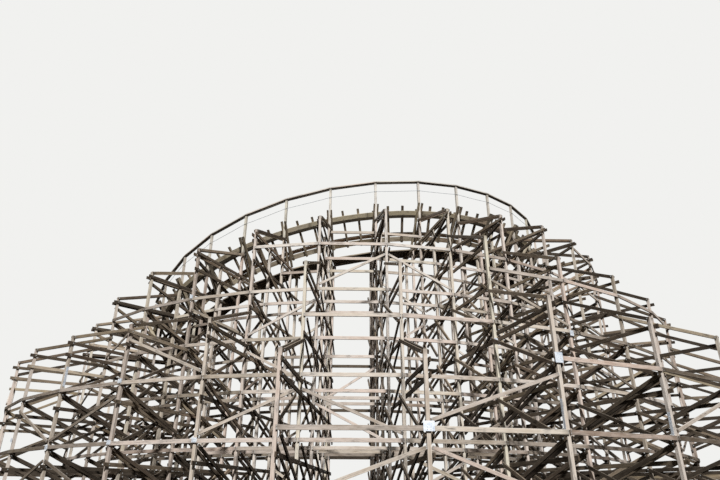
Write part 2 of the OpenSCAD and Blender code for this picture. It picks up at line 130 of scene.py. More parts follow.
# weathered sawn timber: grey-brown to sun-bleached, each stick its own shade
wood = {
    "noise": {  # repeats per metre along, across and through a stick, then detail and roughness
        "streaks": ((1.1, 1 / 0.007, 1 / 0.007), 3, 0.55),  # 7 mm wide, coarser than real fir, so as to show
        "fine": ((4.0, 2.3 / 0.007, 2.3 / 0.007), 2, 0.55),
        "checks": ((0.8, 0.42 / 0.007, 0.42 / 0.007), 1, 0.55),
        "patches": ((2.6, 11, 11), 5, 0.65),  # blotches about 0.4 m long and 90 mm wide
        "slow": ((0.55, 3, 3), 2, 0.55),  # slow changes along a stick
    },
    "streakShade": 0.44,  # how far the streaks and the slow changes shift a stick's shade
    "slowShade": 0.6,
    "hueTurns": 41.0,  # scatters the tints over sticks of nearly the same shade
    "tints": [(0.0, "#FFF0E8"), (0.35, "#FFFFFF"), (0.65, "#FFFDF7"), (1.0, "#F4F3E2")],
    # for each sign its lowest and highest value, and what they give
    "bleached": {"upward": (-0.9, 0.5, 0.0, 1.0), "patches": (0.36, 0.62, 0.2, 1.0),
                 "tone": (0.05, 0.7, 0.3, 1.0)},
    "stainedAndShaded": {"patches": (0.54, 0.72, 0.0, 1.0), "toEnd": (0.16, 0.0, 0.0, 0.55),
                # the darkening of the undersides is painted shade
                "upward": (-0.4, -0.95, 0.0, 0.9)},
    "fineGrain": (0.42, 0.66, 0.0, 0.35),
    "wornEdge": 0.4,  # how pale the worn corners are
    "checkWidth": 0.014,  # as a share of the noise, about 1 mm
    "checkPlaces": (0.45, 0.6, 0.0, 1.0),
    "checkColour": "#251E17",
    "checkDepth": 0.75,
    "ringScale": 40.0,  # growth rings on the cut ends, about 8 mm apart, coarse enough to show
    "ringColour": "#463A2F",
    "ringDepth": 0.85,
    "cutReach": (0.0006, 0.0016, 1.0, 0.0),  # how far from an end the cut face's colour reaches
    "streakHeight": 0.6,
    "bump": {"Strength": 0.6, "Distance": 0.0018},
    "gloss": 0.25,
}


# the stain colour serves real stains, and also painted shade on the undersides
def weatheredTimber(name, shades, bleach, bleachAmount, stainAndShade, stainAndShadeAmount, roughness, mottle):
    material, tree, shader = newMaterial(name)
    add = partial(addNode, tree)
    grain = add("Attribute", {}, attribute_name="grain").outputs["Vector"]
    stick = add("Attribute", {}, attribute_name="stick").outputs["Vector"]
    tone, toEnd, edge = add("SeparateXYZ", [stick]).outputs
    upward = add("SeparateXYZ", [add("NewGeometry", {}).outputs["Normal"]]).outputs["Z"]
    signs = {"tone": tone, "toEnd": toEnd, "upward": upward}
    for label, (scale, detail, rough) in wood["noise"].items():
        place = add("VectorMath", [grain, scale], operation="MULTIPLY")
        signs[label] = add("TexNoise", {"Vector": place, "Scale": 1.0, "Detail": detail, "Roughness": rough})
    shade = tone
    for label, amount in (("streaks", wood["streakShade"]), ("slow", wood["slowShade"]), ("patches", mottle)):
        change = add("Math", [signs[label], amount, -amount / 2], operation="MULTIPLY_ADD")
        shade = add("Math", [shade, change], operation="ADD")
    colour = add("ValToRGB", [shade], shades)
    # some sticks are redder, some greener with age
    hue = add("Math", [tone, wood["hueTurns"]], operation="MULTIPLY")
    hue = add("Math", [hue, 1.0], operation="PINGPONG")
    tint = add("ValToRGB", [hue], wood["tints"])
    colour = add("Mix", {"Factor": 1.0, "A": colour, "B": tint}, data_type="RGBA", blend_type="MULTIPLY")
    # sun and rain bleach what faces up and out, and leave the undersides brown
    sun = bleachAmount
    for label, limits in wood["bleached"].items():
        sun = add("Math", [sun, add("MapRange", [signs[label], *limits])], operation="MULTIPLY")
    # stains in patches and towards the cut ends, and painted shade on the undersides, in one dark colour
    damp = 0.0
    for label, limits in wood["stainedAndShaded"].items():
        damp = add("Math", [damp, add("MapRange", [signs[label], *limits])], operation="MAXIMUM")
    damp = add("Math", [damp, stainAndShadeAmount], operation="MULTIPLY")
    # drying checks are dark lines along the grain, where the noise passes its middle value
    check = add("Math", [signs["checks"], 0.5], operation="SUBTRACT")
    check = add("Math", [check], operation="ABSOLUTE")
    check = add("MapRange", [check, 0.0, wood["checkWidth"], 1.0, 0.0])
    check = add("Math", [check, add("MapRange", [signs["slow"], *wood["checkPlaces"]])], operation="MULTIPLY")
    rings = add("TexWave", {"Vector": grain, "Scale": wood["ringScale"], "Distortion": 1.5, "Detail": 2.0},
                wave_type="RINGS", rings_direction="X").outputs["Fac"]
    cutWood = add("Mix", {"Factor": rings, "A": shades[1][1], "B": wood["ringColour"]}, data_type="RGBA")
    cut = add("MapRange", [toEnd, *wood["cutReach"]])
    layers = [
        (sun, bleach),
        (damp, stainAndShade),
        (add("MapRange", [signs["fine"], *wood["fineGrain"]]), shades[0][1]),
        (add("Math", [edge, wood["wornEdge"]], operation="MULTIPLY"), bleach),
        (add("Math", [check, wood["checkDepth"]], operation="MULTIPLY"), wood["checkColour"]),
        (add("Math", [cut, wood["ringDepth"]], operation="MULTIPLY"), cutWood),
    ]
    for amount, layer in layers:
        colour = add("Mix", {"Factor": amount, "A": colour, "B": layer}, data_type="RGBA")
    height = add("Math", [signs["streaks"], wood["streakHeight"]], operation="MULTIPLY")
    height = add("Math", [height, check], operation="SUBTRACT")
    bump = add("Bump", {"Height": height, **wood["bump"]})
    feed(tree, shader, {"Base Color": colour, "Roughness": roughness, "Specular IOR Level": wood["gloss"],
                        "Normal": bump})
    return material


frameTimber = weatheredTimber(  # bracing and the shaded rows: grey-brown, half bleached, darker in part as painted shade
    "sawn_fir_weathered_and_shaded",
    [(0.0, "#2E241B"), (0.3, "#564839"), (0.62, "#917F6A"), (1.0, "#D6C6B1")],
    bleach="#EFE1CE", bleachAmount=0.36, stainAndShade="#1D160F", stainAndShadeAmount=0.92, roughness=0.86, mottle=0.5)
ringTimber = weatheredTimber(  # posts and outer rows in full sun: nearly white, with a warm cast
    "sawn_fir_bleached",
    [(0.0, "#544638"), (0.35, "#958677"), (0.7, "#D9CABD"), (1.0, "#EFE6DC")],
    bleach="#F0EAE3", bleachAmount=0.65, stainAndShade="#3A3025", stainAndShadeAmount=0.8, roughness=0.84, mottle=0.6)
trackTimber = weatheredTimber(  # ties, stringer and deck: olive brown with dark mottling
    "sawn_fir_olive",
    [(0.0, "#332B20"), (0.4, "#6D5C46"), (0.7, "#A18F76"), (1.0, "#E6D9C2")],
    bleach="#E9DFCC", bleachAmount=0.7, stainAndShade="#1C160F", stainAndShadeAmount=0.95, roughness=0.82, mottle=1.5)
railTimber = weatheredTimber(  # laminated rail planks: oiled, darker and smoother than the rest
    "oiled_rail_laminate",
    [(0.0, "#35291E"), (0.45, "#564432"), (1.0, "#836B4F")],
    bleach="#927E62", bleachAmount=0.2, stainAndShade="#211A13", stainAndShadeAmount=0.7, roughness=0.6, mottle=0.4)
handrailTimber = weatheredTimber(  # old white paint, worn down to dark wood in places; its dark end also paints the handrail's lower rail as shade
    "handrail_old_white_paint",
    [(0.0, "#3E3328"), (0.36, "#CDC1B2"), (1.0, "#EFE9E0")],
    bleach="#F0ECE6", bleachAmount=0.7, stainAndShade="#4C4033", stainAndShadeAmount=0.7, roughness=0.75, mottle=0.5)


# galvanised steel, dipped in hot zinc: pale blue-grey with a faint spangle, dulled by the weather
steel = {
    "spangleShade": 0.35,  # how much the crystals of the spangle differ
    "dull": {"Scale": 9.0, "Detail": 4.0},  # dull blotches about 110 mm across
    "metallic": 0.55,  # weathered zinc is only half a mirror
    "stops": (0.35, 0.85),  # places of the dark and the light colour
}


def galvanisedSteel(name, light, dark, roughness, spangle):
    material, tree, shader = newMaterial(name)
    add = partial(addNode, tree)
    place = add("TexCoord", {}).outputs["Object"]
    cells = add("TexVoronoi", {"Vector": place, "Scale": 1 / spangle}).outputs["Color"]
    dull = add("TexNoise", {"Vector": place, **steel["dull"]})
    blend = add("Math", [cells, steel["spangleShade"], dull], operation="MULTIPLY_ADD")
    colour = add("ValToRGB", [blend], list(zip(steel["stops"], (dark, light))))
    feed(tree, shader, {"Base Color": colour, "Metallic": steel["metallic"], "Roughness": roughness})
    return material


plateSteel = galvanisedSteel("galvanised_plate", "#EAEEF3", "#B1BCCA", roughness=0.6, spangle=0.012)
boltSteel = galvanisedSteel("galvanised_bolts", "#C3C7C8", "#7C776F", roughness=0.6, spangle=0.012)
wireSteel = galvanisedSteel("galvanised_wire", "#A7AEB4", "#6F767E", roughness=0.55, spangle=0.012)
# running strips: rolled steel, worn bright by wheels, with a 4 mm mottle
stripSteel = galvanisedSteel("rolled_strip_steel", "#D7D7D1", "#8B847C", roughness=0.4, spangle=0.004)

# cast concrete: light grey, blotched and pitted, brown where it meets the ground
concrete = {
    "blotch": {"Scale": 7.0, "Detail": 6.0},  # blotches about 140 mm across
    "greys": [(0.3, "#969288"), (0.7, "#CEC9BD")],
    "pitScale": 60.0,  # pits 17 mm apart
    "pits": {"Strength": 0.35, "Distance": 0.002},
    "soil": "#6C5E4D",
    "soilReach": (0.0, 0.07, 0.6, 0.0),  # from the lowest edge to 70 mm up it fades to nothing
    "roughness": 0.92,
}


def castConcrete(name):
    material, tree, shader = newMaterial(name)
    add = partial(addNode, tree)
    place = add("TexCoord", {}).outputs["Object"]
    grey = add("ValToRGB", [add("TexNoise", {"Vector": place, **concrete["blotch"]})], concrete["greys"])
    soil = add("MapRange", [add("SeparateXYZ", [place]).outputs["Z"], *concrete["soilReach"]])
    colour = add("Mix", {"Factor": soil, "A": grey, "B": concrete["soil"]}, data_type="RGBA")
    pits = add("TexVoronoi", {"Vector": place, "Scale": concrete["pitScale"]}).outputs["Distance"]
    bump = add("Bump", {"Height": pits, **concrete["pits"]})
    feed(tree, shader, {"Base Color": colour, "Roughness": concrete["roughness"], "Normal": bump})
    return material


footingConcrete = castConcrete("cast_concrete")
print("materials made")


square = 0.01  # edges whose cosine is below this stand square to each other


class Stick:  # one straight timber: middle, unit axes from longest to thinnest, half sizes
    def __init__(self, corners):
        self.middle = corners.mean(0)
        edges = corners[1:] - corners[0]
        order = np.argsort((edges ** 2).sum(1))
        axes = [edges[order[0]]]
        for k in order[1:]:
            size = np.linalg.norm(edges[k])
            if len(axes) < 3 and all(abs(edges[k] @ a) < square * size * np.linalg.norm(a) for a in axes):
                axes.append(edges[k])
        thin, wide, long = [unit(a) for a in axes]
        if long[2] < -square or (abs(long[2]) <= square and long[0] < 0):  # points up, or else to the right
            long = -long
        self.long, self.wide = long, wide
        self.thin = np.cross(long, wide)
        offsets = corners - self.middle
        self.half = np.array([np.abs(offsets @ axis).max() for axis in (self.long, self.wide, self.thin)])

    def end(self, way):  # middle of the end face, way -1 or 1
        return self.middle + way * self.half[0] * self.long


def meshPoints(node):
    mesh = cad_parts[node].data
    points = np.zeros(len(mesh.vertices) * 3)
    mesh.vertices.foreach_get("co", points)
    return points.reshape(-1, 3)


trianglesPerBox = 12


def readSticks(node):  # every box-shaped solid of a CAD node
    points, mesh = meshPoints(node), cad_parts[node].data
    rows = np.array([face.vertices[:] for face in mesh.polygons]).reshape(-1, 3 * trianglesPerBox)
    found = []
    for row in rows:
        spots = points[row]
        corners = np.unique(spots.round(4), axis=0, return_index=True)[1]
        found.append(Stick(spots[corners]))
    return found


sticks = {node: readSticks(node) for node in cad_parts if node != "rail_wire"}
print("timbers read:", sum(len(group) for group in sticks.values()))


def addPiece(name, mesh, material, slot, *replaced):
    mesh.materials.append(material)
    piece = bpy.data.objects.new(name, mesh)
    bpy.context.scene.collection.objects.link(piece)
    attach(piece, rootBody)
    if replaced:
        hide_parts(*replaced)


def tubeFaces(first, rings, sides):  # faces of a closed tube through rings of points, numbered from first
    last = first + sides * (rings - 1)
    faces = []
    for start in range(first, last, sides):
        for k in range(sides):
            a, b = start + k, start + (k + 1) % sides
            faces.append((a, b, b + sides, a + sides))
    faces.append(tuple(range(first + sides - 1, first - 1, -1)))
    faces.append(tuple(range(last, last + sides)))
    return faces


timber = {
    "corner": (0.0022, 0.005),  # worn corner, least and most
    "cornerShare": 0.3,  # and never more than this share of half the thickness
    "cornerRound": 0.3,  # how far its middle point stands back, as a share of the corner
    "inset": 0.004,  # length of the worn edge round a cut end
    "drawnIn": 0.8,  # how far that edge is drawn in, as a share of the corner
    "segment": 0.55,  # length of a straight stretch between small bends
    "bow": 0.0016,  # how far a stick bends out of line, for each metre of half its length
    "bowMost": 0.006,
    "twist": 0.006,  # radians
    "wobble": 0.0009,  # unevenness of the sawn faces
    "endLoss": (0.004, 0.007),  # how much shorter a loose stick is at an end, least and most
    "endSkew": 0.004,  # how far an end is out of square
    "endPower": 6,  # the higher, the closer to the end the loss stays
    "grainShift": 20,  # metres, so that no two sticks show the same stretch of grain
    "frontWidth": 0.45,  # the turn is palest within this angle of its middle, in radians
    "spreadShare": (1.3, 0.8),  # of the shades' spread at the turn's ends, and how much less in its middle
    "dampHeight": 5.5,  # below this the timbers darken towards the ground
    "toneLimits": (0.02, 1.15),
}
sectionPoints = 12  # three round each corner
edgeWear = np.array([0, 1, 0] * 4)  # the middle one of the three is the worn edge


def wornSection(wide, thin, corner):  # outline of the section: three points round each corner
    ring = []
    back = timber["cornerRound"] * corner
    for v, t in ((1, 1), (-1, 1), (-1, -1), (1, -1)):
        trio = [(v * wide, t * (thin - corner)), (v * (wide - back), t * (thin - back)),
                (v * (wide - corner), t * thin)]
        ring += trio if v * t > 0 else trio[::-1]
    return np.array(ring)


class TimberMesh:  # worn timbers gathered in one mesh, with the marks that the wood materials read
    def __init__(self, spread, gain=0.45, damp=0.34):
        self.spread = spread  # of the shades, from stick to stick
        self.gain = gain  # how much paler the middle of the turn is than its ends
        self.damp = damp  # how much darker the timbers are at the ground
        self.points, self.grains, self.marks, self.faces = [], [], [], []
        self.count = 0

    # a timber through the spots, with a shade from 0, dark, to 1, pale; loose draws its ends back
    def add(self, spots, axes, along, wide, thin, tone, loose):
        longs, wides, thins = axes
        size = np.array([wide, thin])
        corner = min(chance.uniform(*timber["corner"]), timber["cornerShare"] * thin)
        section = wornSection(wide, thin, corner)
        share = along / along[-1]
        rings = np.repeat(section[None], len(along), 0)
        rings[[0, -1]] *= 1 - timber["drawnIn"] * corner / size
        rings += (chance.normal(0, timber["wobble"], (len(along), 2)) * (1 - share ** 2)[:, None])[:, None]
        end = (share > 0).astype(int)
        loss = chance.uniform(*timber["endLoss"], 2)[end]
        skew = chance.uniform(-0.5, 0.5, (2, 2))[end] * timber["endSkew"]
        pull = loss[:, None] + skew @ (section / size).T
        pull *= -np.sign(share)[:, None] * abs(share[:, None]) ** timber["endPower"] * loose
        points = spots[:, None] + pull[..., None] * longs[:, None]
        points = points + rings[..., :1] * wides[:, None] + rings[..., 1:] * thins[:, None]
        self.points.append(points.reshape(-1, 3))
        places = np.repeat(along[:, None, None], sectionPoints, 1)
        local = np.concatenate([places, np.repeat(section[None], len(along), 0)], 2)
        shift = chance.uniform(-timber["grainShift"], timber["grainShift"], 3)
        self.grains.append(local.reshape(-1, 3) + shift)
        facing = math.exp(-(aroundTurn(spots.mean(0)) / timber["frontWidth"]) ** 2)
        atEnds, less = timber["spreadShare"]
        shade = tone + self.gain * (facing - 0.5) + chance.normal(0, self.spread * (atEnds - less * facing))
        shade -= self.damp * max(0.0, 1 - spots[:, 2].mean() / timber["dampHeight"])
        toEnd = np.repeat(along[-1] - abs(along), sectionPoints)
        shades = np.full(len(toEnd), np.clip(shade, *timber["toneLimits"]))
        self.marks.append(np.column_stack([shades, toEnd, np.tile(edgeWear, len(along))]))
        self.faces += tubeFaces(self.count, len(along), sectionPoints)
        self.count += sectionPoints * len(along)

    def straight(self, stick, tone, loose):  # one stick, a little bowed and twisted
        long, wide, thin = stick.half
        cuts = max(2, 2 * round(long / timber["segment"]))
        edge = long - timber["inset"]
        along = np.concatenate([[-long], np.linspace(-edge, edge, cuts + 1), [long]])
        share = (along / long)[:, None]
        arch = 1 - share ** 2
        bow = chance.normal(0, timber["bow"] * long, 2).clip(-timber["bowMost"], timber["bowMost"])
        angle = chance.normal(0, timber["twist"]) * share * arch
        wides = np.cos(angle) * stick.wide + np.sin(angle) * stick.thin
        thins = np.cos(angle) * stick.thin - np.sin(angle) * stick.wide
        bend = arch * (bow[0] * stick.wide + bow[1] * stick.thin)
        spots = stick.middle + along[:, None] * stick.long + bend
        longs = np.repeat(stick.long[None], len(along), 0)
        self.add(spots, (longs, wides, thins), along, wide, thin, tone, loose)

    def finish(self, name, material, slot, *replaced):
        mesh = bpy.data.meshes.new(name)
        mesh.from_pydata(np.concatenate(self.points).tolist(), [], self.faces)
        for label, rows in (("grain", self.grains), ("stick", self.marks)):
            marks = mesh.attributes.new(label, "FLOAT_VECTOR", "POINT")
            marks.data.foreach_set("vector", np.concatenate(rows).ravel())
        addPiece(name, mesh, material, slot, *replaced)


def buildTimbers(name, node, material, slot, tone, spread, loose=1.0, **light):
    store = TimberMesh(spread, **light)
    for stick in sticks[node]:
        store.straight(stick, tone, loose)
    store.finish(name, material, slot, node)


woodTones = {  # shade of a group of timbers, from 0, dark, to 1, pale, and its spread from stick to stick
    "posts": (0.78, 0.15), "bracing": (0.31, 0.25), "ringBraces": (0.6, 0.22), "deckCaps": (0.3, 0.18),
    "bank": (0.4, 0.2), "ties": (0.42, 0.22), "deck": (0.35, 0.2), "handrailPosts": (0.72, 0.12),
}
# the inner row's low tone is painted shade
ledgerTones = {"inner": 0.15, "track": 0.4, "middle": 0.6, "tier_1": 0.64, "tier_2": 0.66, "tier_3": 0.66}
ledgerSpread = 0.2
for number in turn["bents"]:
    buildTimbers("timber_posts_%02d" % number, "bent_%02d_posts" % number, ringTimber, "frame_wood",
                 *woodTones["posts"], loose=0.5, gain=0.1, damp=0.1)
    buildTimbers("timber_bracing_%02d" % number, "bent_%02d_bracing" % number, frameTimber, "frame_wood",
                 *woodTones["bracing"], gain=0.2)
for row, tone in ledgerTones.items():
    material = frameTimber if row == "inner" else ringTimber  # the inner row stands in the shade, so it takes the darker wood as painted shade
    buildTimbers("timber_ring_ledgers_" + row, "ring_ledgers_" + row, material, "frame_wood",
                 tone, ledgerSpread)
for row in ("track", "tier_1", "tier_2", "tier_3"):
    buildTimbers("timber_ring_braces_" + row, "ring_braces_" + row, ringTimber, "frame_wood",
                 *woodTones["ringBraces"])
buildTimbers("timber_deck_caps", "deck_caps", frameTimber, "frame_wood", *woodTones["deckCaps"])
buildTimbers("timber_bank", "bank_timbers", trackTimber, "track_wood", *woodTones["bank"])
buildTimbers("timber_ties", "ties", trackTimber, "track_wood", *woodTones["ties"])
buildTimbers("timber_deck", "deck", trackTimber, "track_wood", *woodTones["deck"])
buildTimbers("timber_handrail_posts", "handrail_posts", handrailTimber, "rail_post_wood",
             *woodTones["handrailPosts"], loose=0.3, gain=0.15)
print("straight timbers built")


def smooth(places, reach, values):  # a smooth curve through the values that a run has along its reach
    slopes = np.gradient(values, reach, axis=0)
    k = np.clip(np.searchsorted(reach, places) - 1, 0, len(reach) - 2)
    gap = (reach[k + 1] - reach[k])[:, None]
    t = (places - reach[k])[:, None] / gap
    return ((1 + 2 * t) * (1 - t) ** 2 * values[k] + t * t * (3 - 2 * t) * values[k + 1]
            + gap * t * (1 - t) * ((1 - t) * slopes[k] - t * slopes[k + 1]))


class Run:  # a row of short track pieces, followed as one smooth curve
    def __init__(self, chain):
        longs, wides = [], []
        heading = chain[1].middle - chain[0].middle
        aside = chain[0].wide * np.sign(chain[0].wide[2])
        for stick in chain:
            heading = stick.long * np.sign(stick.long @ heading)
            aside = stick.wide * np.sign(stick.wide @ aside)
            longs.append(heading)
            wides.append(aside)
        first = chain[0].middle - longs[0] * chain[0].half[0]
        last = chain[-1].middle + longs[-1] * chain[-1].half[0]
        self.marks = np.array([first] + [stick.middle for stick in chain] + [last])
        self.wides = np.array([wides[0]] + wides + [wides[-1]])
        self.reach = np.concatenate([[0], np.cumsum(np.linalg.norm(np.diff(self.marks, axis=0), axis=1))])
        self.half = chain[0].half

    def at(self, places):  # spots and the three axes at places along the run
        spots = smooth(places, self.reach, self.marks)
        step = 0.01
        longs = smooth(places + step, self.reach, self.marks) - smooth(places - step, self.reach, self.marks)
        longs /= np.linalg.norm(longs, axis=1)[:, None]
        wides = smooth(places, self.reach, self.wides)
        wides -= (wides * longs).sum(1)[:, None] * longs
        wides /= np.linalg.norm(wides, axis=1)[:, None]
        return spots, (longs, wides, np.cross(longs, wides))


def chainsOf(node):  # the rows of end-to-end pieces in a node
    chains = []
    for stick in sorted(sticks[node], key=lambda one: aroundTurn(one.middle)):
        nearest = 2.4 * stick.half[0]  # neighbours in a row lie about two half lengths apart
        near = [chain for chain in chains if np.linalg.norm(chain[-1].middle - stick.middle) < nearest]
        if near:
            near[0].append(stick)
        else:
            chains.append([stick])
    return [Run(chain) for chain in chains]


plank = {
    "length": 1.92,
    "lastLeast": 0.4,  # the last plank of a run is at least this long
    "joint": 0.0015,  # half the gap between two planks
    "step": 0.12,  # distance between the points along a curved plank
    "firstShare": (0.25, 0.38, 0.75),  # each layer's joints stand elsewhere: least, step and range
    "narrow": 0.002,  # how much narrower a layer may be than its solid
    "seam": 0.0003,  # half the gap between two layers
    "gain": 0.1,
}


def pointsAlong(length):  # how many points a curved plank or bar needs
    return max(3, round(length / plank["step"]))


def addPlanks(store, run, wide, thin, lift, start, tone):  # planks end to end, lifted along the wide axis
    total = run.reach[-1]
    cuts = [0.0, *np.arange(start, total - plank["lastLeast"], plank["length"]), total]
    for low, high in zip(cuts, cuts[1:]):
        half = (high - low) / 2 - plank["joint"]
        edge = half - timber["inset"]
        along = np.concatenate([[-half], np.linspace(-edge, edge, pointsAlong(2 * half)), [half]])
        spots, axes = run.at(along + (low + high) / 2)
        store.add(spots + lift * axes[1], axes, along, wide, thin, tone, 0.0)


# layers from the lowest up: share of the depth, tone
def buildRuns(name, node, material, slot, spread, layers):
    store = TimberMesh(spread, plank["gain"])
    least, step, span = plank["firstShare"]
    for run in chainsOf(node):
        low = -run.half[1]
        for layer, (share, tone) in enumerate(layers):
            depth = run.half[1] * share
            narrow = chance.uniform(0, plank["narrow"])
            start = plank["length"] * (least + (step * layer) % span)
            addPlanks(store, run, depth - plank["seam"], run.half[2] - narrow, low + depth, start, tone)
            low += 2 * depth
    store.finish(name, material, slot, node)


buildRuns("timber_stringer", "stringer", trackTimber, "track_wood", 0.1, [(0.4, -0.1), (0.6, 1.1)])
buildRuns("timber_guard_boards", "guard_boards", trackTimber, "track_wood", 0.15, [(1, 0.75)])
buildRuns("timber_rail_stacks", "rail_stacks", railTimber, "rail_wood", 0.2,
          [(1 / 3, 0.35), (1 / 3, 0.5), (1 / 3, 0.4)])
buildRuns("timber_rail_top_planks", "rail_top_planks", railTimber, "rail_wood", 0.2, [(1, 0.5)])

# handrail: a pale flat plank on a darker, narrower rail that stands back from its outer edge; the rail's dark
# colour is painted shade
handrail = {
    "plankShare": 0.5,  # of the depth
    "railShare": 0.55,  # of the width
    "closeUp": 0.0095,  # each stretch reaches this far into the next, so that the curve has no gaps
    "plankTone": 0.72, "railTone": -0.2, "spread": 0.12, "gain": 0.1,
}
store = TimberMesh(handrail["spread"], handrail["gain"])
for stick in sticks["handrail"]:
    outward = stick.wide * np.sign(stick.wide @ outwardAt(aroundTurn(stick.middle)))
    upward = stick.thin * np.sign(stick.thin[2])
    middle, half = stick.middle.copy(), stick.half.copy()
    stick.half = half * (1, 1, handrail["plankShare"])
    stick.half[0] += handrail["closeUp"]
    stick.middle = middle + upward * half[2] * (1 - handrail["plankShare"])
    store.straight(stick, handrail["plankTone"], 0.0)
    stick.half = half * (1, handrail["railShare"], 1 - handrail["plankShare"])
    stick.half[0] += handrail["closeUp"]
    stick.middle = middle - upward * half[2] * handrail["plankShare"]
    stick.middle = stick.middle - outward * half[1] * (1 - handrail["railShare"])
    # the rail's dark tone is painted shade under the plank
    store.straight(stick, handrail["railTone"], 0.0)
    stick.middle, stick.half = middle, half
store.finish("timber_handrail", handrailTimber, "rail_post_wood", "handrail")
print("curved timbers built")


def ringOf(sides, radius, spin=0.0):
    angles = [spin + 2 * math.pi * k / sides for k in range(sides)]
    return [(radius * math.cos(angle), radius * math.sin(angle)) for angle in angles]


def plateOutline(width, height, cut=0.006):  # rectangle with its corners cut
    w, h = width / 2, height / 2
    return [(w, -h + cut), (w, h - cut), (w - cut, h), (-w + cut, h),
            (-w, h - cut), (-w, -h + cut), (-w + cut, -h), (w - cut, -h)]


bolt = {
    "washer": 0.016, "washerThick": 0.003, "washerSides": 10,  # radius, thickness, corners
    "head": 0.0095, "headHigh": 0.007, "headSides": 6,
    "askew": (0.1, 0.2, 1.0),  # a way that no bolt points in
    "margin": 0.01,  # a plank may end this far from the post that it crosses
    "leastLean": 0.2,  # a plank that runs flatter along a post's side than this doesn't cross it
    "near": 0.06,  # of the planks that cross a post within this height, only the outermost shows a bolt
    "boardSize": 0.62,  # smaller bolts in the boards from bent to bent, two at each end
    "boardEnd": 0.021,  # their distance from the end
    "boardLift": 0.45,  # and from the middle line, as a share of half the board's width
}
nail = {"head": 0.0042, "high": 0.0016, "sides": 6, "inset": 0.018}  # inset from a plate's edges
sunk = 0.001  # how deep nails, plates and bolt heads start inside what carries them


class Hardware:  # bolts, screws and plates gathered in one mesh
    def __init__(self):
        self.points, self.faces = [], []
        self.bolts = 0

    def loft(self, rings):  # closed solid through rings of points, from the first to the last
        self.faces += tubeFaces(len(self.points), len(rings), len(rings[0]))
        for ring in rings:
            self.points += list(ring)

    def prism(self, place, outward, aside, outline, low, high):
        up = np.cross(outward, aside)
        self.loft([[place + outward * level + aside * a + up * u for a, u in outline]
                   for level in (low, high)])

    def bolt(self, place, outward, size=1.0):
        outward = unit(outward)
        aside = unit(np.cross(outward, bolt["askew"]))
        top = bolt["washerThick"]
        spin = chance.uniform(0, math.pi)
        washer = ringOf(bolt["washerSides"], bolt["washer"] * size)
        head = ringOf(bolt["headSides"], bolt["head"] * size, spin)
        self.prism(place, outward, aside, washer, -2 * sunk, top * size)
        self.prism(place, outward, aside, head, (top - sunk) * size, (top + bolt["headHigh"]) * size)
        self.bolts += 1

    def nail(self, place, outward, aside, size=1.0):
        head = ringOf(nail["sides"], nail["head"] * size)
        self.prism(place, outward, aside, head, -sunk, nail["high"] * size)

    def plate(self, place, outward, aside, width, height, thick, columns, rows):  # nailed in columns and rows
        self.prism(place, outward, aside, plateOutline(width, height), -sunk, thick)
        up = np.cross(outward, aside)
        halfWidth, halfHeight = width / 2 - nail["inset"], height / 2 - nail["inset"]
        for a in np.linspace(-halfWidth, halfWidth, columns):
            for u in np.linspace(-halfHeight, halfHeight, rows):
                self.nail(place + aside * a + up * u + outward * thick, outward, aside)

    def finish(self, name, material, slot, *replaced):
        mesh = bpy.data.meshes.new(name)
        mesh.from_pydata([tuple(point) for point in self.points], [], self.faces)
        addPiece(name, mesh, material, slot, *replaced)


capsByBent, ringBoards = {}, []
for stick in sticks["deck_caps"]:
    capsByBent.setdefault(bentOf(stick.middle), []).append(stick)
for node, group in sticks.items():
    if node.startswith("ring_"):
        ringBoards += group


def boltPlaces(number):  # on the outermost of the planks that cross a bent's posts: place and way out
    radial = outwardAt(bentAngle(number))
    for post in sticks["bent_%02d_posts" % number]:
        found = []
        for board in sticks["bent_%02d_bracing" % number] + capsByBent.get(number, []):
            lean = board.long @ radial
            if abs(lean) <= bolt["leastLean"]:
                continue
            travel = ((post.middle - board.middle) @ radial) / lean
            spot = board.middle + board.long * travel
            if abs(travel) > board.half[0] + bolt["margin"] or spot[2] > post.end(1)[2] - bolt["margin"]:
                continue
            side = np.sign((board.middle - post.middle) @ board.thin) * board.thin
            found.append((spot + side * board.half[2], side, abs((spot - post.middle) @ board.thin)))
        for spot, side, depth in found:
            covered = any(otherSide @ side > 0 and otherDepth > depth + bolt["margin"]
                          and abs(otherSpot[2] - spot[2]) < bolt["near"]
                          for otherSpot, otherSide, otherDepth in found)
            if not covered:
                yield spot, side


boltCount = 0
for number in turn["bents"]:
    store = Hardware()
    for spot, side in boltPlaces(number):
        store.bolt(spot, side)
    for board in ringBoards:
        for way in (-1, 1):
            spot = board.end(way) - way * board.long * bolt["boardEnd"]
            if bentOf(spot) != number:
                continue
            outward = board.thin * np.sign(board.thin @ outwardAt(bentAngle(number)))
            for lift in (-bolt["boardLift"], bolt["boardLift"]):
                place = spot + outward * board.half[2] + board.wide * board.half[1] * lift
                store.bolt(place, outward, bolt["boardSize"])
    boltCount += store.bolts
    store.finish("bolts_%02d" % number, boltSteel, "steel")
print("bolts:", boltCount)

# joint plates, as they can be seen: bent, tier of the post, height, width, length, and the face they lie on
jointPlates = [
    (9, 3, 3.26, 0.17, 0.20, "ledger"), (10, 2, 4.55, 0.12, 0.14, "ledger"),
    (8, 3, 1.95, 0.2, 0.17, "ledger"), (5, 2, 3.30, 0.12, 0.098, "ledger"),
    (5, 2, 1.94, 0.12, 0.098, "ledger"), (5, 1, 6.00, 0.104, 0.105, "ledger"),
    (4, 2, 1.91, 0.12, 0.098, "ledger"), (6, 2, 1.93, 0.12, 0.098, "ledger"),
    (3, 2, 2.20, 0.12, 0.098, "ledger"), (9, 2, 4.14, 0.104, 0.105, "ledger"),
    (9, 3, 2.20, 0.062, 0.62, "side"), (10, 3, 2.18, 0.062, 0.46, "side"),
    (4, 2, 3.61, 0.062, 0.5, "side"),
]
joint = {"thick": 0.003, "columns": 4, "rows": 5, "sideColumns": 3, "sideLeast": 4, "sideStep": 0.04}  # nails
store = Hardware()
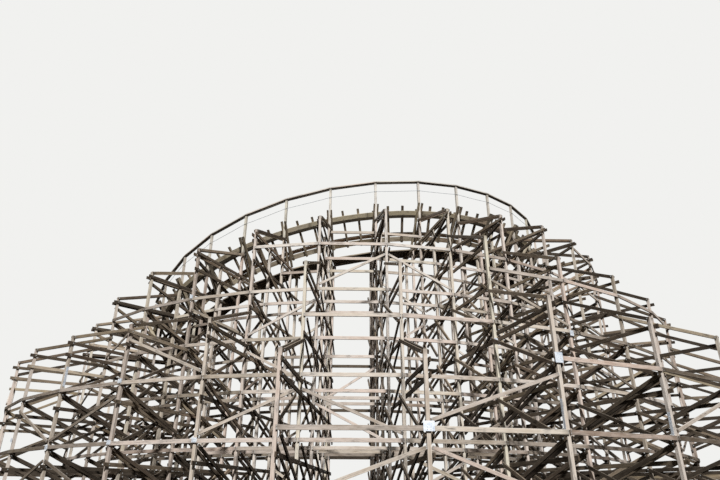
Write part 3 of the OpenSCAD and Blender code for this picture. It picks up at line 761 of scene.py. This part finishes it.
for number, tier, height, width, length, face in jointPlates:
    angle = bentAngle(number)
    outward, aside = outwardAt(angle), outwardAt(angle + math.pi / 2)
    post = sorted(sticks["bent_%02d_posts" % number], key=fromCentre)[turn["middlePost"] + tier]
    place = post.middle.copy()
    place[2] = height
    if face == "ledger":
        ledgerThick = 2 * sticks["ring_ledgers_tier_%d" % tier][0].half[2]
        place += outward * (post.half[1] + ledgerThick)
        columns, rows = joint["columns"], joint["rows"]
    else:
        outward = -aside * np.sign(angle)  # towards the middle of the turn
        aside = unit(np.cross((0, 0, 1), outward))
        place += outward * post.half[2]
        columns, rows = joint["sideColumns"], max(joint["sideLeast"], round(length / joint["sideStep"]))
    store.plate(place, outward, aside, width, length, joint["thick"], columns, rows)
store.finish("joint_plates", plateSteel, "steel")

# footings: cast blocks with chamfered tops, and two steel angles that hold each post
footing = {
    "chamfer": 0.014,
    "angleWide": 0.055, "angleHigh": 0.11, "angleFoot": 0.06, "angleThick": 0.004,
    "postBolts": (0.45, 0.8),  # places up the angle
    "footBolt": 0.6,  # place along its foot
    "boltSize": 0.7,
}
blocks, shoes = Hardware(), Hardware()
for block in sticks["footings"]:
    axes = sorted(zip((block.long, block.wide, block.thin), block.half), key=lambda pair: abs(pair[0][2]))
    (aside, halfAside), (_, halfAcross), (_, halfHigh) = axes
    across, cut = np.cross((0.0, 0.0, 1.0), aside), footing["chamfer"]
    rings = []
    for shrink, level in ((0, -halfHigh), (0, halfHigh - cut), (cut, halfHigh)):
        outline = plateOutline(2 * (halfAside - shrink), 2 * (halfAcross - shrink), cut)
        rings.append([block.middle + aside * a + across * u + (0, 0, level) for a, u in outline])
    blocks.loft(rings)
blocks.finish("cast_footings", footingConcrete, "concrete", "footings")
upAngle = plateOutline(footing["angleWide"], footing["angleHigh"])
footAngle = plateOutline(footing["angleWide"], footing["angleFoot"])
thick, size = footing["angleThick"], footing["boltSize"]
for number in turn["bents"]:
    aside = outwardAt(bentAngle(number) + math.pi / 2)
    for post in sticks["bent_%02d_posts" % number]:
        foot = post.end(-1)
        for way in (-1, 1):
            side = aside * way
            face = foot + side * abs(post.half[1:]).max()
            flat = unit(np.cross((0, 0, 1), side))
            shoes.prism(face + (0, 0, footing["angleHigh"] / 2), side, flat, upAngle, -sunk, thick)
            middle = face + side * footing["angleFoot"] / 2
            shoes.prism(middle, np.array([0.0, 0.0, 1.0]), flat, footAngle, -sunk, thick)
            for share in footing["postBolts"]:
                shoes.bolt(face + side * thick + (0, 0, footing["angleHigh"] * share), side, size)
            place = face + side * footing["angleFoot"] * footing["footBolt"] + (0, 0, thick)
            shoes.bolt(place, (0, 0, 1), size)
shoes.finish("post_shoes", boltSteel, "steel")

# running strips: flat steel bars end to end, screwed down every 150 mm
strip = {
    "corner": 0.0012,
    "bar": 2.9, "firstBar": 1.3, "lastLeast": 0.5,  # lengths of the bars
    "joint": 0.001,  # half the gap between two bars
    "firstScrew": 0.08, "screwStep": 0.15, "screwSize": 1.5,
}
store, screws = Hardware(), Hardware()
for run in chainsOf("running_strips"):
    total = run.reach[-1]
    cuts = [0.0, *np.arange(strip["firstBar"], total - strip["lastLeast"], strip["bar"]), total]
    outline = wornSection(run.half[1], run.half[2], strip["corner"])
    for low, high in zip(cuts, cuts[1:]):
        places = np.linspace(low + strip["joint"], high - strip["joint"], pointsAlong(high - low))
        spots, (longs, wides, thins) = run.at(places)
        store.loft([[spot + w * a + t * b for a, b in outline] for spot, w, t in zip(spots, wides, thins)])
    spots, (longs, wides, thins) = run.at(np.arange(strip["firstScrew"], total, strip["screwStep"]))
    for spot, along, thin in zip(spots, longs, thins):
        up = thin * np.sign(thin[2])
        screws.nail(spot + up * run.half[2], up, along, strip["screwSize"])
store.finish("steel_running_strips", stripSteel, "steel", "running_strips")
screws.finish("strip_screws", boltSteel, "steel")

# bolts under the ties: one below each rail, one at the stringer and one at the guard board
tieBoltSize = 0.8
store = Hardware()
trackRows = chainsOf("rail_stacks") + chainsOf("stringer") + chainsOf("guard_boards")
for tie in sticks["ties"]:
    outward = outwardAt(aroundTurn(tie.middle))
    down = max((tie.wide, tie.thin), key=lambda axis: abs(axis @ outward))
    down = -down * np.sign(down[2])
    for row in trackRows:
        near = row.marks[np.argmin(np.linalg.norm(row.marks - tie.middle, axis=1))]
        travel = (near - tie.middle) @ tie.long
        below = max((near - tie.middle) @ down + row.half[2], tie.half[1])
        store.bolt(tie.middle + tie.long * travel + down * below, down, tieBoltSize)
store.finish("tie_bolts", boltSteel, "steel")

# mid wire of the handrail: from post to post with a little sag, clamped at each post
wire = {
    "radius": 0.006, "sag": 0.008, "sides": 8, "steps": 12,
    "overlap": 0.006,  # how far it reaches into the post at each end
    "clampHalf": 0.012, "clampSize": 1.9,  # half the clamp's length, and its radius in wire radii
}
points = meshPoints("rail_wire")
bays = np.array([round(aroundTurn(point) / turn["bayAngle"]) for point in points])
store = Hardware()
for bay in np.unique(bays):
    group = points[bays == bay]
    middle = (group.max(0) + group.min(0)) / 2
    long = np.linalg.svd(group - group.mean(0))[2][0]
    half = abs((group - middle) @ long).max() + wire["overlap"]
    aside = unit(np.cross(long, (0, 0, 1)))
    up = np.cross(long, aside)
    spots = [middle + long * half * share - (0, 0, wire["sag"] * (1 - share * share))
             for share in np.linspace(-1, 1, wire["steps"])]
    outline = ringOf(wire["sides"], wire["radius"])
    store.loft([[spot + aside * a + up * u for a, u in outline] for spot in spots])
    clamp = ringOf(wire["sides"], wire["radius"] * wire["clampSize"])
    for way in (-1, 1):
        place = middle + long * way * (half - wire["clampHalf"])
        store.prism(place, long, aside, clamp, -wire["clampHalf"], wire["clampHalf"])
store.finish("handrail_wire", wireSteel, "steel", "rail_wire")
print("hardware built")

# camera at the photo's place: on the ground in front of the turn, looking up
view = {
    "distance": 24.749, "height": 0.8, "farthest": 200,  # metres
    "turn": -0.17, "pan": -1.10, "tilt": 24.87, "roll": 0.27,  # degrees
    "lens": 28.0, "sensor": 36.0,  # millimetres
}
cameraData = bpy.data.cameras.new("camera")
cameraData.lens, cameraData.sensor_width = view["lens"], view["sensor"]
cameraData.clip_end = view["farthest"]
camera = bpy.data.objects.new("camera", cameraData)
bpy.context.scene.collection.objects.link(camera)
place = Vector(turn["centre"] + outwardAt(math.radians(view["turn"])) * view["distance"])
place.z = view["height"]
camera.matrix_world = (Matrix.Translation(place)
                       @ Matrix.Rotation(math.radians(view["pan"]), 4, "Z")
                       @ Matrix.Rotation(math.radians(90 + view["tilt"]), 4, "X")
                       @ Matrix.Rotation(math.radians(view["roll"]), 4, "Z"))
bpy.context.scene.camera = camera

# studio: a key light from the front, a weaker one from behind, a pale surround and a plain pale floor
studio = {
    "surround": "#F1F1EF",
    "fill": 0.06,  # strength of the surround as a light; seen or mirrored, its strength is 1
    "floorSeen": "#D9D9D6",
    "floorBounce": "#403D38",  # the floor throws little light back, so that undersides stay dark
    "floorReach": 120.0,  # half its width
    "floorDrop": 0.002,
    "lights": {  # strength, softness in degrees, tilt from straight down, turn round the part
        "key_light": (4.1, 5.0, 52, 3),
        "back_light": (1.3, 12.0, 52, 205),
    },
}
world = bpy.data.worlds.new("studio")
bpy.context.scene.world = world
world.use_nodes = True
tree = world.node_tree
seen = addNode(tree, "LightPath", {}).outputs
direct = addNode(tree, "Math", [seen["Is Camera Ray"], seen["Is Glossy Ray"]], operation="MAXIMUM")
strength = addNode(tree, "MapRange", {"Value": direct, "To Min": studio["fill"], "To Max": 1.0})
feed(tree, tree.nodes["Background"], {"Color": studio["surround"], "Strength": strength})
for name, (energy, softness, tilt, turned) in studio["lights"].items():
    sun = bpy.data.objects.new(name, bpy.data.lights.new(name, "SUN"))
    sun.data.energy = energy
    sun.data.angle = math.radians(softness)
    sun.rotation_euler = (math.radians(tilt), 0, math.radians(turned))
    bpy.context.scene.collection.objects.link(sun)

floorMaterial, tree, shader = newMaterial("studio_floor")
seen = addNode(tree, "LightPath", {}).outputs["Is Camera Ray"]
colours = {"Factor": seen, "A": studio["floorBounce"], "B": studio["floorSeen"]}
floorColour = addNode(tree, "Mix", colours, data_type="RGBA")
feed(tree, shader, {"Base Color": floorColour, "Roughness": 1.0, "Specular IOR Level": 0.0})
reach = studio["floorReach"]
floorMesh = bpy.data.meshes.new("floor")
corners = [(-reach, -reach, 0), (reach, -reach, 0), (reach, reach, 0), (-reach, reach, 0)]
floorMesh.from_pydata(corners, [], [(0, 1, 2, 3)])
floorMesh.materials.append(floorMaterial)
floor = bpy.data.objects.new("floor", floorMesh)
floor.location.z = -studio["floorDrop"]
bpy.context.scene.collection.objects.link(floor)
floor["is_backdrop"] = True
bpy.context.scene.view_settings.view_transform = "Standard"
print("studio set")

plainBox = lambda box: [[float(value) for value in corner] for corner in box]
{"cad": plainBox(cadBox), "visual": plainBox(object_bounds())}
